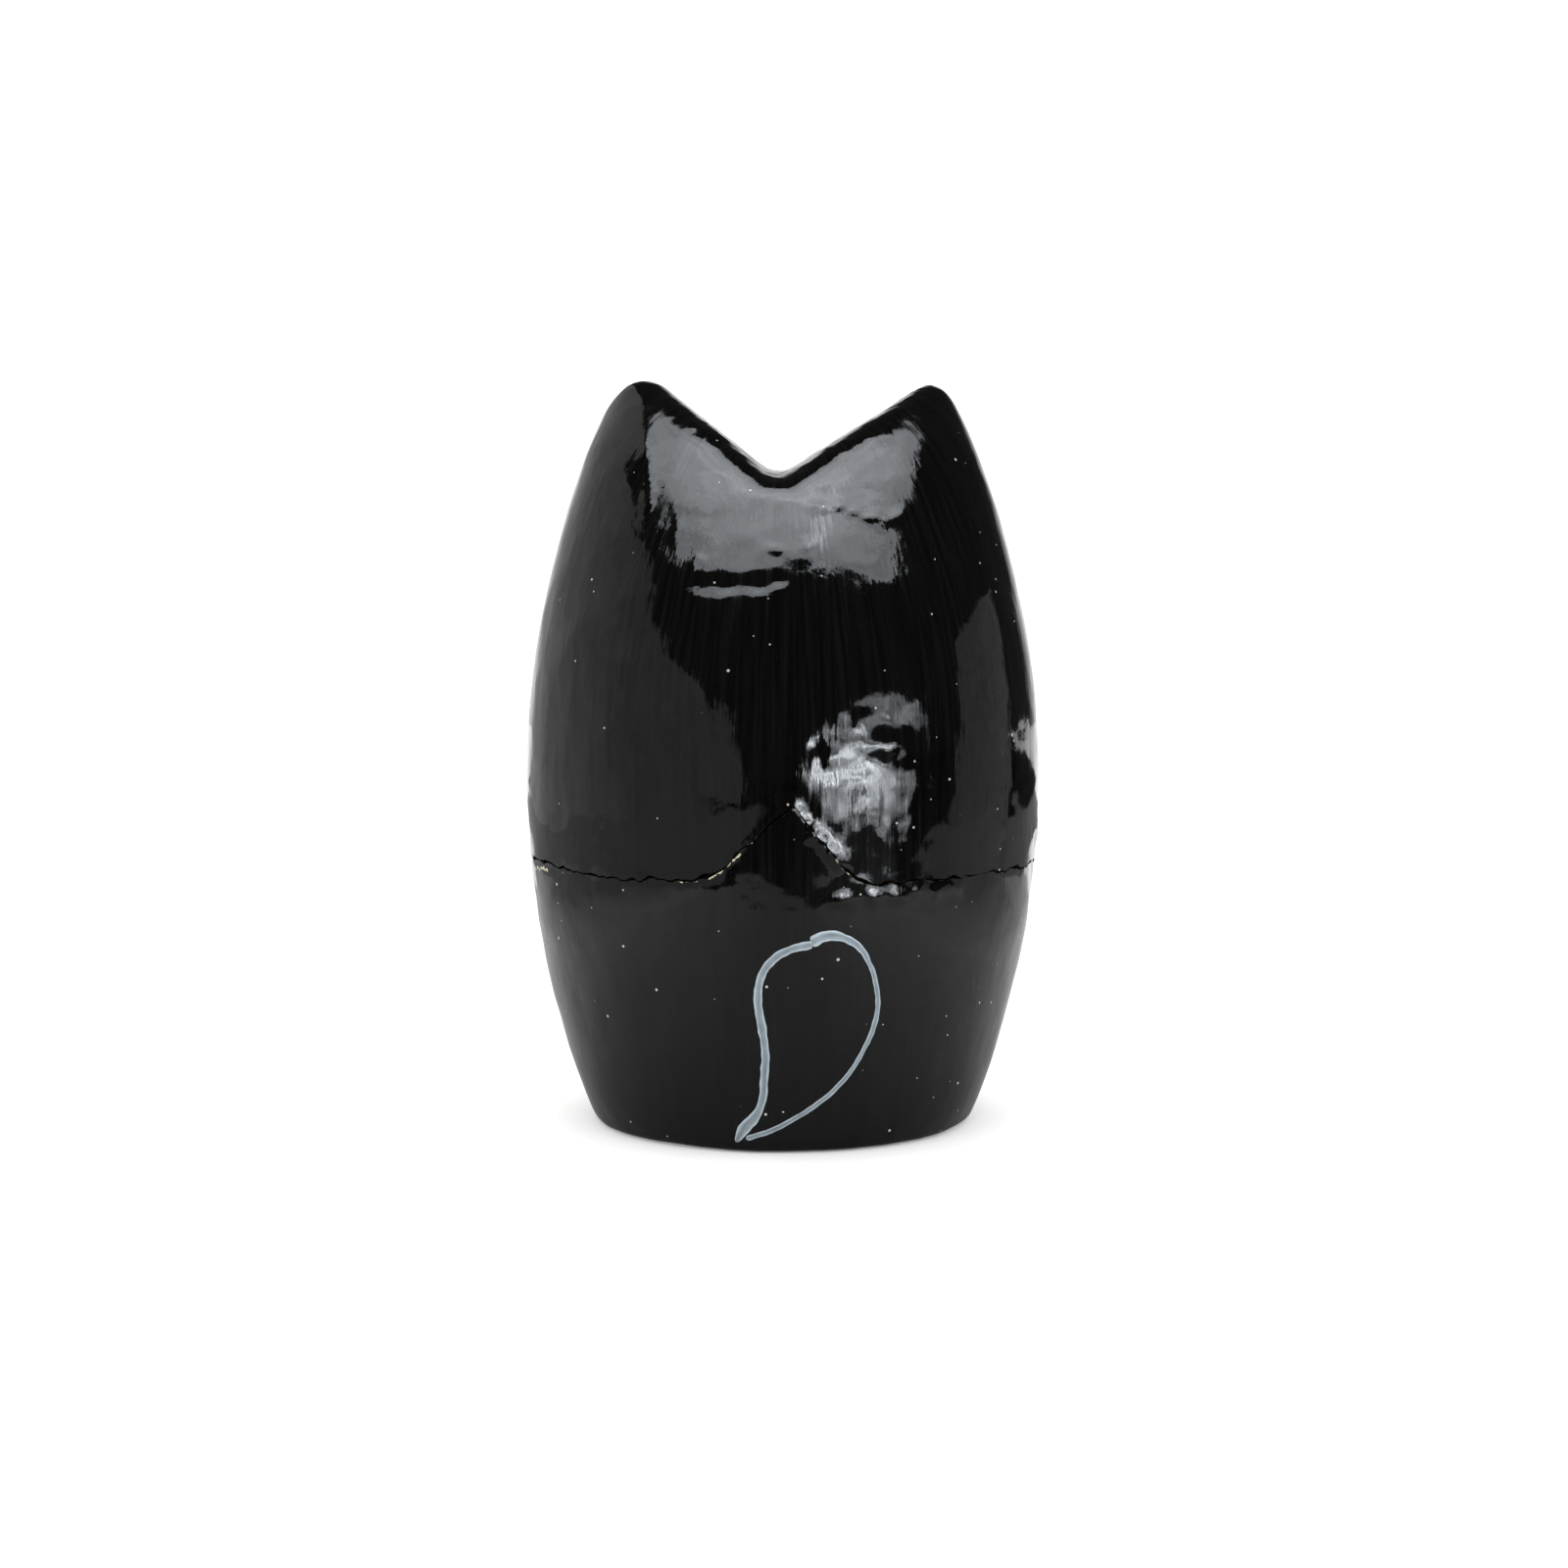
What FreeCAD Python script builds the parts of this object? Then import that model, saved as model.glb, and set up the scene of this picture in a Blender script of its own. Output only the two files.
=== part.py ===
import FreeCAD, Part
import math
import os

# Two-part hollow cat figurine, sitting upright, with a lift-off head.
#
# The body is a round barrel shell that closes up into a flattened head.  The top of the head is cut
# to a valley between two blunt ears.  A parting line runs round the figure at about a third of its
# height, and climbs over a triangular tab at the front and at the back, so that the two shells only
# close one way round.  A collar glued inside the lower shell stands up into the upper one and
# centres it.  The tail, the paws and the face are strokes of raised paint.
#
# Frame: millimetres, +Z up, origin at the middle of the foot.  The cat faces -Y, so +X is on its
# left.  The tail is painted on the +Y side.

V = FreeCAD.Vector

# ---- driving dimensions, in millimetres and degrees ----
# the figure as a whole
total_height = 80.0        # foot to ear tips
foot_width = 41.2          # across the foot, which is round
foot_edge_radius = 0.8
belly_width = 55.8         # widest part, side to side
belly_depth = 54.6         # widest part, front to back
belly_height = 37.5        # height of the widest part
crown_width = 36.0         # side to side at ear tip level, before the edges are rounded
crown_depth = 13.0         # front to back at ear tip level, before the edges are rounded

# ears and the valley between them
valley_drop = 10.9         # ear tips down to the floor of the valley
valley_offset = 0.6        # valley floor, towards the cat's left
valley_radius = 1.6        # rounding of the valley floor
valley_arch_radius = 60.0  # the valley is arched front to back
left_ear_slope = 40.5      # inner side of the left ear, from the horizontal
right_ear_slope = 34.5
left_ear_radius = 4.0      # rounding of the left ear tip, seen from the front
right_ear_radius = 2.2
ear_shoulder_slope = 50.0  # outer side of both ears, from the horizontal
head_edge_radius = 2.4     # rounding between the top of the head and its sides

# the shells
wall = 3.0
floor_thickness = 3.5
roof_thickness = 4.0       # under the floor of the valley
cavity_floor_radius = 2.5
cavity_roof_radius = 6.0

# the parting line and its tabs
parting_height = 27.9
parting_gap = 0.25
tab_rise = 7.8
tab_left_foot = 7.2        # from the middle of the figure to the tab's foot on the cat's left
tab_right_foot = 7.0
tab_tip_offset = 1.1       # the tab's tip, towards the cat's right
tab_tip_radius = 0.9

# the collar glued in the lower shell
collar_thickness = 1.2
collar_seat = 7.0          # depth below the parting line
collar_rise = 5.0          # height above it
collar_clearance = 0.25    # to the upper shell
collar_lead_in = 0.4

# paint
paint_thickness = 0.12
foot_paint_clearance = 0.6  # from the foot's rounding up to the lowest line's middle
tail_line_width = 0.95
tail_top_clearance = 5.4   # tail's top below the parting line
paw_line_width = 0.8
paw_width = 6.6
paw_height = 7.8
paw_spacing = 9.2          # middle of one paw to middle of the other
toe_length = 2.6
face_line_width = 0.8
face_tab_clearance = 3.0   # lowest part of the face above the tab's tip
eye_spacing = 17.2         # middle of one eye to middle of the other
eye_width = 8.4
eye_height = 5.6
pupil_width = 1.4
nose_width = 3.0
nose_height = 1.9
mouth_width = 7.2
whisker_width = 0.55
whisker_start = 10.6       # from the middle of the face
whisker_end = 19.6
ear_line_drop = 5.8        # ear tip down to the top of the line inside the ear
ear_line_length = 6.6

# ---- values that follow from them ----
belly_below_power = 2.1    # curve of the side from foot to belly
belly_above_power = 1.8    # curve of the side from belly to ear tips
crown_squareness = 2.8     # superellipse power at ear tip level; 2 is an ellipse
section_points = 32
valley_height = total_height - valley_drop
blank_top = total_height + 3.0
reach = belly_width        # comfortably outside the figure
cavity_top = valley_height - roof_thickness
tab_tip_height = parting_height + tab_rise


# ---- form of the figure ----
def share_above_belly(z):
    return max(0.0, (z - belly_height) / (total_height - belly_height))


def half_size(z, foot, belly, crown):
    """Half the width or depth of the figure at a height, from its three governing sizes."""
    if z < belly_height:
        fall = (1 - z / belly_height) ** belly_below_power
        return (belly - (belly - foot) * fall) / 2
    return (belly - (belly - crown) * share_above_belly(z) ** belly_above_power) / 2


def section(z, inset):
    """Closed outline of the figure at a height, moved inwards by inset, in a front and a back half."""
    half_width = half_size(z, foot_width, belly_width, crown_width) - inset
    half_depth = half_size(z, foot_width, belly_depth, crown_depth) - inset
    power = 2 + (crown_squareness - 2) * min(1.0, share_above_belly(z))
    points = []
    for i in range(section_points):
        angle = 2 * math.pi * i / section_points
        c, s = math.cos(angle), math.sin(angle)
        x = half_width * math.copysign(abs(c) ** (2 / power), c)
        y = half_depth * math.copysign(abs(s) ** (2 / power), s)
        points.append(V(x, y, z))
    curve = Part.BSplineCurve()
    curve.interpolate(Points=points, PeriodicFlag=True)
    start, end = curve.FirstParameter, curve.LastParameter
    middle = curve.parameter(points[section_points // 2])
    return Part.Wire([curve.toShape(start, middle), curve.toShape(middle, end)])


def barrel(inset, bottom, top):
    """Solid of the figure's sides between two heights, moved inwards by inset, with flat ends."""
    spacing = 9.0
    count = max(2, round((top - bottom) / spacing))
    heights = [bottom + (top - bottom) * i / count for i in range(count + 1)]
    return Part.makeLoft([section(z, inset) for z in heights], True, False)


# ---- plane outlines, given as (x, z) points and drawn in the XZ plane ----
def at(x, z):
    return V(x, 0, z)


def rounded_path(points, radii):
    """Edges of a path with a tangent arc at each inner point."""
    edges = []
    start = points[0]
    for before, corner, after, radius in zip(points, points[1:], points[2:], radii):
        back = (before - corner).normalize()
        ahead = (after - corner).normalize()
        half = back.getAngle(ahead) / 2
        reach_back = radius / math.tan(half)
        first = corner + back * reach_back
        last = corner + ahead * reach_back
        middle_way = (back + ahead).normalize()
        middle = corner + middle_way * (radius / math.sin(half) - radius)
        edges.append(Part.LineSegment(start, first).toShape())
        edges.append(Part.Arc(first, middle, last).toShape())
        start = last
    edges.append(Part.LineSegment(start, points[-1]).toShape())
    return edges


def closed_below(edges, z):
    """Face between a path that runs along X and a level line below it."""
    first = edges[0].Vertexes[0].Point
    last = edges[-1].Vertexes[-1].Point
    low_last = at(last.x, z)
    low_first = at(first.x, z)
    sides = [
        Part.LineSegment(last, low_last).toShape(),
        Part.LineSegment(low_last, low_first).toShape(),
        Part.LineSegment(low_first, first).toShape(),
    ]
    return Part.Face(Part.Wire(edges + sides))


def ear_middle(slope, radius):
    """From the middle of the valley to the middle of an ear's rounding, along X."""
    inner = math.radians(slope)
    rise = total_height - radius - valley_height
    return (rise + radius / math.cos(inner)) / math.tan(inner)


def ear_tip(slope, radius, side):
    """Corner where an ear's inner slope, run on past its rounding, meets the outer slope."""
    inner = math.radians(slope)
    outer = math.radians(ear_shoulder_slope)
    # the rounding touches both slopes, so the corner lies where they cross
    outer_level = total_height - radius + radius / math.cos(outer)
    outer_level += math.tan(outer) * ear_middle(slope, radius)
    x = (outer_level - valley_height) / (math.tan(inner) + math.tan(outer))
    return at(valley_offset + side * x, valley_height + math.tan(inner) * x)


def head_roof():
    """Solid of everything under the arched top of the head, a spool about a line along X."""
    left = ear_tip(left_ear_slope, left_ear_radius, 1)
    right = ear_tip(right_ear_slope, right_ear_radius, -1)
    fall = math.tan(math.radians(ear_shoulder_slope))
    path = [
        at(reach, left.z - (reach - left.x) * fall),
        left,
        at(valley_offset, valley_height),
        right,
        at(-reach, right.z - (reach + right.x) * fall),
    ]
    radii = [left_ear_radius, valley_radius, right_ear_radius]
    spool_axis = valley_height - valley_arch_radius
    outline = closed_below(rounded_path(path, radii), spool_axis)
    return outline.revolve(at(0, spool_axis), V(1, 0, 0), 360)


def slab(bottom, top):
    """Block that covers the figure between two heights."""
    return Part.makeBox(2 * reach, 2 * reach, top - bottom, V(-reach, -reach, bottom))


def end_edges(shape):
    """Edges where a lofted side meets another kind of surface."""
    found = []
    for edge in shape.Edges:
        faces = [face for face in shape.Faces if any(edge.isSame(other) for other in face.Edges)]
        lofted = [isinstance(face.Surface, Part.BSplineSurface) for face in faces]
        if len(faces) == 2 and lofted.count(True) == 1:
            found.append(edge)
    return found


def figure():
    """Solid of the whole outside of the cat."""
    blank = barrel(0.0, 0.0, blank_top)
    waste = slab((belly_height + valley_height) / 2, blank_top + 1).cut(head_roof())
    carved = blank.cut(waste)
    top_edges = [e for e in end_edges(carved) if e.CenterOfMass.z > belly_height]
    return carved.makeFillet(head_edge_radius, top_edges)


def cavity():
    """Solid of the hollow inside both shells."""
    hollow = barrel(wall, floor_thickness, cavity_top)
    roof_edges = [e for e in end_edges(hollow) if e.CenterOfMass.z > belly_height]
    hollow = hollow.makeFillet(cavity_roof_radius, roof_edges)
    floor_edges = [e for e in end_edges(hollow) if e.BoundBox.ZMax < floor_thickness + wall / 4]
    return hollow.makeFillet(cavity_floor_radius, floor_edges)


def below_parting():
    """Block under the parting line, with the tab, right through from front to back."""
    path = [
        at(reach, parting_height),
        at(tab_left_foot, parting_height),
        at(-tab_tip_offset, tab_tip_height),
        at(-tab_right_foot, parting_height),
        at(-reach, parting_height),
    ]
    outline = closed_below(rounded_path(path, [tab_tip_radius] * 3), -1)
    outline.translate(V(0, -reach, 0))
    return outline.extrude(V(0, 2 * reach, 0))


# ---- the pieces ----
def shells(hollow):
    """The lower and the upper shell, parted along the line with the tabs."""
    hollow_figure = figure().cut(hollow)
    lower_block = below_parting()
    body_shell = hollow_figure.common(lower_block)
    foot_edges = [e for e in end_edges(body_shell) if e.BoundBox.ZMax < foot_edge_radius]
    body_shell = body_shell.makeFillet(foot_edge_radius, foot_edges)
    lower_block.translate(V(0, 0, parting_gap))
    head_shell = hollow_figure.cut(lower_block)
    return body_shell, head_shell


def locating_collar(hollow):
    """Ring that is glued inside the lower shell and stands straight up into the upper one."""
    bottom = parting_height - collar_seat
    top = parting_height + collar_rise
    seat = hollow.common(slab(bottom, parting_height))
    guide = Part.Face(section(parting_height, wall + collar_clearance)).extrude(V(0, 0, collar_rise))
    lead_in = [e for e in guide.Edges if e.BoundBox.ZMin > top - collar_lead_in]
    guide = guide.makeChamfer(collar_lead_in, lead_in)
    lower_bore = barrel(wall + collar_thickness, bottom - 1, parting_height)
    upper_bore = Part.Face(section(parting_height, wall + collar_thickness))
    upper_bore = upper_bore.extrude(V(0, 0, collar_rise + 1))
    return seat.fuse(guide).cut(lower_bore).cut(upper_bore)


# ---- paint ----
def stroke(points, width):
    """Face of a brush stroke with round ends, along (x, z) points."""
    line = Part.BSplineCurve()
    line.interpolate([at(x, z) for x, z in points])
    samples = 6 * len(points)
    first, last = line.FirstParameter, line.LastParameter
    one_side = []
    other_side = []
    for i in range(samples + 1):
        place = first + (last - first) * i / samples
        along = line.tangent(place)[0]
        across = V(-along.z, 0, along.x) * (width / 2)
        one_side.append(line.value(place) + across)
        other_side.append(line.value(place) - across)
    other_side.reverse()
    edges = []
    for side in (one_side, other_side):
        border = Part.BSplineCurve()
        border.interpolate(side)
        edges.append(border.toShape())
    start_bulge = line.value(first) - line.tangent(first)[0].normalize() * (width / 2)
    end_bulge = line.value(last) + line.tangent(last)[0].normalize() * (width / 2)
    end_cap = Part.Arc(one_side[-1], end_bulge, other_side[0]).toShape()
    start_cap = Part.Arc(other_side[-1], start_bulge, one_side[0]).toShape()
    return Part.Face(Part.Wire([edges[0], end_cap, edges[1], start_cap]))


def paint_film():
    """Thin layer all over the sides of the figure, from which the strokes are taken."""
    outer = barrel(-paint_thickness, 0.0, blank_top)
    return outer.cut(barrel(0.0, 0.0, blank_top))


def painted(film, faces, side):
    """Raised paint where faces drawn in the XZ plane meet the film, on its +Y or -Y side."""
    prisms = [face.extrude(V(0, side * reach, 0)) for face in faces]
    tool = prisms[0] if len(prisms) == 1 else prisms[0].multiFuse(prisms[1:])
    return film.common(tool)


def mirrored(points):
    return [(-x, z) for x, z in points]


def tail_strokes():
    """Outline of a tail that curls up from the foot, in two strokes that meet at both ends."""
    bottom = foot_edge_radius + foot_paint_clearance
    height = parting_height - tail_top_clearance - bottom
    left_side = [(4.7, 0.01), (3.2, 0.1), (1.9, 0.25), (1.8, 0.43), (2.3, 0.64),
                 (2.0, 0.82), (0.2, 0.935), (-2.6, 0.98)]
    right_side = [(-2.9, 0.99), (-5.0, 1.0), (-7.4, 0.94), (-9.1, 0.78), (-9.2, 0.57),
                  (-7.7, 0.37), (-4.5, 0.2), (0.0, 0.057), (3.6, 0.0)]
    return [stroke([(x, bottom + share * height) for x, share in side], tail_line_width)
            for side in (left_side, right_side)]


def paw_strokes(side):
    """Round-topped outline of a front paw with two lines between its toes."""
    bottom = foot_edge_radius + foot_paint_clearance
    middle = side * paw_spacing / 2
    half = paw_width / 2
    arch = [(middle - half, bottom), (middle - 0.92 * half, bottom + 0.55 * paw_height),
            (middle, bottom + paw_height), (middle + 0.92 * half, bottom + 0.55 * paw_height),
            (middle + half, bottom)]
    toes = [[(middle + k * half, bottom), (middle + k * half, bottom + toe_length)]
            for k in (-0.36, 0.36)]
    return [stroke(points, paw_line_width) for points in [arch] + toes]


def face_level(share):
    """Height on the face, from 0 just above the tab to 1 at the floor of the valley."""
    lowest = tab_tip_height + face_tab_clearance
    return lowest + share * (valley_height - lowest)


def eye_strokes(side):
    """Almond outline of an eye, in an upper and a lower stroke."""
    middle = eye_spacing / 2
    half = eye_width / 2
    level = face_level(0.5)
    inner = (middle - half, level - 0.2 * eye_height)
    outer = (middle + half, level + 0.25 * eye_height)
    upper = [inner, (middle - 0.45 * half, level + 0.36 * eye_height),
             (middle + 0.25 * half, level + 0.56 * eye_height), outer]
    lower = [inner, (middle - 0.25 * half, level - 0.42 * eye_height),
             (middle + 0.5 * half, level - 0.24 * eye_height), outer]
    lines = [upper, lower] if side > 0 else [mirrored(upper), mirrored(lower)]
    return [stroke(points, face_line_width) for points in lines]


def pupil(side):
    """Slit between the lids of an eye."""
    ellipse = Part.Ellipse(at(0, 0.36 * eye_height), at(pupil_width / 2, 0), at(0, 0))
    face = Part.Face(Part.Wire(ellipse.toShape()))
    face.translate(at(side * eye_spacing / 2, face_level(0.5) + 0.06 * eye_height))
    return [face]


def nose_triangle():
    """Filled nose, point down."""
    top = face_level(0.3)
    corners = [at(0, top), at(nose_width / 2, top), at(0, top - nose_height),
               at(-nose_width / 2, top), at(0, top)]
    corner_radius = nose_height / 6
    return [Part.Face(Part.Wire(rounded_path(corners, [corner_radius] * 3)))]


def mouth_strokes():
    """Short line down from the nose that parts into two curls."""
    top = face_level(0.3) - nose_height
    parting = top - 0.22 * mouth_width
    curl = [(0.0, parting), (0.16 * mouth_width, parting - 0.14 * mouth_width),
            (0.36 * mouth_width, parting - 0.12 * mouth_width), (0.5 * mouth_width, parting)]
    lines = [[(0.0, top), (0.0, parting)], curl, mirrored(curl)]
    return [stroke(points, face_line_width) for points in lines]


def whisker_strokes(side):
    """Three whiskers that fan out from a cheek."""
    span = whisker_end - whisker_start
    faces = []
    for start_share, rise in ((0.31, 0.2), (0.25, 0.02), (0.19, -0.16)):
        level = face_level(start_share)
        points = [(whisker_start, level), (whisker_start + span / 2, level + 0.62 * rise * span),
                  (whisker_end, level + rise * span)]
        faces.append(stroke(points if side > 0 else mirrored(points), whisker_width))
    return faces


def ear_strokes(slope, radius, side):
    """Pointed line inside an ear, in two strokes that meet under its tip."""
    middle = ear_middle(slope, radius) - 0.1 * ear_line_length
    top = total_height - ear_line_drop
    inner = [(middle - 0.85 * ear_line_length, top - 0.95 * ear_line_length),
             (middle - 0.4 * ear_line_length, top - 0.4 * ear_line_length), (middle, top)]
    outer = [(middle, top), (middle + 0.28 * ear_line_length, top - 0.5 * ear_line_length),
             (middle + 0.42 * ear_line_length, top - ear_line_length)]
    placed = [[(valley_offset + side * x, z) for x, z in points] for points in (inner, outer)]
    return [stroke(points, face_line_width) for points in placed]


def paint_strokes():
    """Every painted node, with its faces and the side of the figure it is on."""
    back, front = 1, -1
    strokes = {"tail_outline": (tail_strokes(), back)}
    for name, side in (("left", 1), ("right", -1)):
        strokes[name + "_paw_outline"] = (paw_strokes(side), front)
        strokes[name + "_eye_outline"] = (eye_strokes(side), front)
        strokes[name + "_pupil"] = (pupil(side), front)
        strokes[name + "_whiskers"] = (whisker_strokes(side), front)
    strokes["left_inner_ear"] = (ear_strokes(left_ear_slope, left_ear_radius, 1), front)
    strokes["right_inner_ear"] = (ear_strokes(right_ear_slope, right_ear_radius, -1), front)
    strokes["nose"] = (nose_triangle(), front)
    strokes["mouth"] = (mouth_strokes(), front)
    return strokes


# ---- build and write ----
def build():
    hollow = cavity()
    body_shell, head_shell = shells(hollow)
    pieces = {
        "body_shell": body_shell,
        "head_shell": head_shell,
        "locating_collar": locating_collar(hollow),
    }
    film = paint_film()
    for name, (faces, side) in paint_strokes().items():
        pieces[name] = painted(film, faces, side)
    return pieces


if __name__ == "__main__":
    os.makedirs("parts", exist_ok=True)
    for name, piece in build().items():
        state = "valid" if piece.isValid() else "NOT VALID"
        print(name, state, len(piece.Solids), "solids", round(piece.Volume, 2), "mm3")
        piece.exportStep("parts/" + name + ".step")
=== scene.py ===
import math
import bpy
from mathutils import Matrix, Vector, noise
from mathutils.bvhtree import BVHTree


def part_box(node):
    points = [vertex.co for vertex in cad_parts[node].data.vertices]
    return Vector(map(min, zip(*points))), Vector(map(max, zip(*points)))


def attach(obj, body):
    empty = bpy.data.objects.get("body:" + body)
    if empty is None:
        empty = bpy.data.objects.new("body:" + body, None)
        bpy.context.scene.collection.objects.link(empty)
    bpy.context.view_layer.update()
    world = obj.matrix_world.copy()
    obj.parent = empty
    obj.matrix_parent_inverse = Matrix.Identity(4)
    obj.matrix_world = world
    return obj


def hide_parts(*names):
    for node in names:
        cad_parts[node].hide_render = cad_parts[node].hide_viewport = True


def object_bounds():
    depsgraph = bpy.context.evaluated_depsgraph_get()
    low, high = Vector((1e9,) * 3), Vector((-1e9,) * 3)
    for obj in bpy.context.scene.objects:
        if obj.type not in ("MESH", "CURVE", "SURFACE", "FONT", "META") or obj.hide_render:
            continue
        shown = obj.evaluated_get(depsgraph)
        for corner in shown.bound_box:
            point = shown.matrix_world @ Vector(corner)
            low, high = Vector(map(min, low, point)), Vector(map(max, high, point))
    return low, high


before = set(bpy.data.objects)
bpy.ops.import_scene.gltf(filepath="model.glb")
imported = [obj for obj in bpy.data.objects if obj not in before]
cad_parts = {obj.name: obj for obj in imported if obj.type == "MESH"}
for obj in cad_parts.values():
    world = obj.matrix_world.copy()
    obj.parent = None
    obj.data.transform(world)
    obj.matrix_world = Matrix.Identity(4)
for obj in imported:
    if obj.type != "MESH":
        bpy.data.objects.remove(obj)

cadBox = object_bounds()
mm = 0.001
noise.seed_set(5)   # noise_vector is set by the clock otherwise
bpy.context.scene.view_settings.view_transform = "Standard"


def activate(*pieces):
    # selects these pieces and nothing else; the last one is active
    bpy.ops.object.select_all(action="DESELECT")
    for piece in pieces:
        piece.select_set(True)
    bpy.context.view_layer.objects.active = pieces[-1]


def named(name):
    piece = bpy.context.active_object
    piece.name = name
    piece.data.name = name
    return piece


def useModifier(piece, kind, **settings):
    # adds a modifier, sets it and applies it
    activate(piece)
    bpy.ops.object.modifier_add(type=kind)
    modifier = piece.modifiers[-1]
    for setting, value in settings.items():
        setattr(modifier, setting, value)
    bpy.ops.object.modifier_apply(modifier=modifier.name)


def selectFaces(piece, wanted):
    # selects the faces that the test wants, and goes into edit mode
    activate(piece)
    bpy.ops.object.mode_set(mode="EDIT")
    bpy.ops.mesh.select_mode(type="FACE")
    bpy.ops.mesh.select_all(action="DESELECT")
    bpy.ops.object.mode_set(mode="OBJECT")
    for face in piece.data.polygons:
        face.select = wanted(face)
    bpy.ops.object.mode_set(mode="EDIT")


def weigh(piece, name, weightAt):
    # a vertex group with a weight worked out for each vertex
    group = piece.vertex_groups.new(name=name)
    for vertex in piece.data.vertices:
        weight = weightAt(vertex)
        if weight > 0:
            group.add([vertex.index], min(1.0, weight), "REPLACE")
    return name


def cloudTexture(name, size, depth=2):
    texture = bpy.data.textures.new(name, "CLOUDS")
    texture.noise_scale = size
    texture.noise_depth = depth
    return texture


def smoothStep(low, high, value):
    share = min(1.0, max(0.0, (value - low) / (high - low)))
    return share * share * (3 - 2 * share)


def linear(hexColour):
    # sRGB hex to the linear colour that the shader wants
    channels = [int(hexColour[i:i + 2], 16) / 255 for i in (1, 3, 5)]
    return [c / 12.92 if c <= 0.04045 else ((c + 0.055) / 1.055) ** 2.4 for c in channels] + [1.0]


def addNode(tree, kind, inputs=None, **settings):
    # adds a node, sets it up, and fills its inputs with values or links
    node = tree.nodes.new(kind)
    for setting, value in settings.items():
        setattr(node, setting, value)
    for socket, value in (inputs or {}).items():
        if isinstance(value, bpy.types.NodeSocket):
            tree.links.new(value, node.inputs[socket])
        else:
            node.inputs[socket].default_value = value
    return node


def newMaterial(name, **sockets):
    # a material with its Principled shader's constant sockets set
    material = bpy.data.materials.new(name)
    material.use_nodes = True
    shader = material.node_tree.nodes["Principled BSDF"]
    for socket, value in sockets.items():
        shader.inputs[socket.replace("_", " ")].default_value = value
    return material, material.node_tree, shader


def calculate(tree, operation, *values):
    node = addNode(tree, "ShaderNodeMath", dict(enumerate(values)), operation=operation)
    return node.outputs[0]


# the figure's own measures, from the boxes of its CAD parts
headLow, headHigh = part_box("head_shell")
bodyLow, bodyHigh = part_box("body_shell")
parting = {
    "crack": 0.25 * mm,         # width of the gap between the shells
    "tabLeft": 7.2 * mm,        # the tab's foot towards +X
    "tabRight": -7.0 * mm,
    "tabTip": -1.1 * mm,
    "round": 0.32,              # how softly the line turns, as a share of the tab's height
    "overhang": 2.2 * mm,       # how far each shell is made too long before it is cut
    # size and height of the torn edge's waves, and how much its width varies
    "ragged": ((6.5 * mm, 0.42 * mm), (2.2 * mm, 0.32 * mm), (0.85 * mm, 0.26 * mm), (0.5 * mm, 0.12 * mm)),
    "spread": 0.55 * mm,
    "leftRise": 0.8 * mm,       # the line climbs towards the cat's left side
    "cell": 0.28 * mm,
}
parting["level"] = headLow.z - parting["crack"]
parting["tabTop"] = bodyHigh.z + 0.3 * mm   # the rounded tip's corner


def softMax(first, second, width):
    # the larger of two, with the corner between them rounded off
    blend = max(0.0, width - abs(first - second)) / width
    return max(first, second) + blend ** 3 * width / 6


def partingLevel(x):
    # height of the parting line above a place, before it is torn
    left = (parting["tabLeft"] - x) / (parting["tabLeft"] - parting["tabTip"])
    right = (x - parting["tabRight"]) / (parting["tabTip"] - parting["tabRight"])
    share = softMax(0.0, -softMax(-left, -right, parting["round"]), parting["round"])
    return parting["level"] + share * (parting["tabTop"] - parting["level"])


def abovePartingNodes(tree, place):
    # the same line as a node value: metres above the parting line
    split = addNode(tree, "ShaderNodeSeparateXYZ", {0: place})
    x = split.outputs["X"]
    left = calculate(tree, "SUBTRACT", parting["tabLeft"], x)
    left = calculate(tree, "DIVIDE", left, parting["tabLeft"] - parting["tabTip"])
    right = calculate(tree, "SUBTRACT", x, parting["tabRight"])
    right = calculate(tree, "DIVIDE", right, parting["tabTip"] - parting["tabRight"])
    share = calculate(tree, "SMOOTH_MIN", left, right, parting["round"])
    share = calculate(tree, "SMOOTH_MAX", share, 0.0, parting["round"])
    rise = calculate(tree, "MULTIPLY", share, parting["tabTop"] - parting["level"])
    above = calculate(tree, "SUBTRACT", split.outputs["Z"], parting["level"])
    return calculate(tree, "SUBTRACT", above, rise)


lacquer = {
    "pool": "#030303",
    "drag": "#0b0b0b",
    # pale specks: dust, and painted glints of pinholes catching the light
    "dustAndGlint": "#a5a4a0",
    "chalk": "#b4aa94",         # ground coat under the lacquer
    "streakWidth": 0.42 * mm,   # drag of a stiff flat brush
    "streakLength": 11 * mm,
    "streakHeight": 0.0085 * mm,
    "bandHeight": 0.016 * mm,
    "dabWidth": 0.5 * mm,
    "dabHeight": 0.009 * mm,
    "peelSize": 1.5 * mm,       # slow waves where the coat levelled out
    "peelHeight": 0.0075 * mm,
    "gritSize": 0.35 * mm,
    "gritHeight": 0.002 * mm,
    "dustSpacing": 1.8 * mm,
    "dustSize": 0.16 * mm,
    "dustHeight": 0.02 * mm,
    "chipDepth": 0.04 * mm,
    "chipReach": 0.55 * mm,     # how far from the parting line it chipped
    "chipCluster": 7 * mm,
    "chipSize": 0.8 * mm,
    "dabGroup": 5 * mm,
}


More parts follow.
